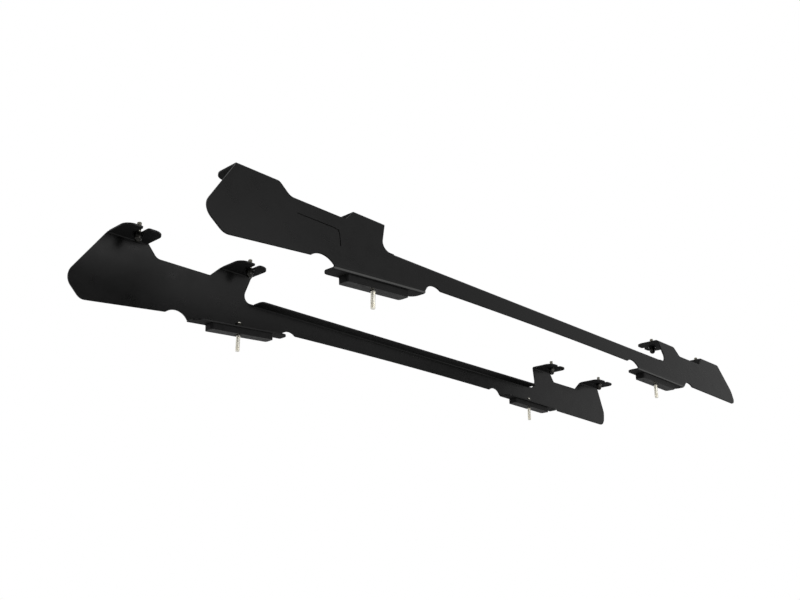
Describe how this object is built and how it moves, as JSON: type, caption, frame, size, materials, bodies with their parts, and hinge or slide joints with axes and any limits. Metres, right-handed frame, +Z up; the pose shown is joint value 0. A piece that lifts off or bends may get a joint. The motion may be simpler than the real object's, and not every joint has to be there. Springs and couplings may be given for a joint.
{
  "type": "vehicle roof rail pair",
  "caption": "Mirror-image vehicle roof rails folded from black sheet steel, with fin ends, slotted tabs and bolts for a rack, and studded feet on spacer blocks.",
  "frame": {"origin": "middle of the rectangle of the four roof studs, 40 mm below the lower edges of the bars", "axes": "+X to the front along the rails (the end with the large fin), +Y to the left rail, +Z up"},
  "size_m": [1.6117, 0.395, 0.17],
  "materials": {
    "black_coated_steel": "satin-gloss black coating",
    "black_rubber": "matt black",
    "zinc_steel": "bright zinc plate with a pale yellow tint"
  },
  "bodies": {
    "root": {"left_rail": "black_coated_steel", "right_rail": "black_coated_steel", "left_front_block": "black_rubber", "left_rear_block": "black_rubber", "right_front_block": "black_rubber", "right_rear_block": "black_rubber", "left_front_stud": "zinc_steel", "left_rear_stud": "zinc_steel", "right_front_stud": "zinc_steel", "right_rear_stud": "zinc_steel", "left_front_stud_nut": "black_coated_steel", "left_rear_stud_nut": "black_coated_steel", "right_front_stud_nut": "black_coated_steel", "right_rear_stud_nut": "black_coated_steel", "left_bolt_1": "zinc_steel", "left_bolt_2": "zinc_steel", "left_bolt_3": "zinc_steel", "left_bolt_4": "zinc_steel", "right_bolt_1": "zinc_steel", "right_bolt_2": "zinc_steel", "right_bolt_3": "zinc_steel", "right_bolt_4": "zinc_steel", "left_washers": "black_coated_steel", "right_washers": "black_coated_steel", "left_cap_nuts": "black_coated_steel", "right_cap_nuts": "black_coated_steel"}
  },
  "joints": []
}
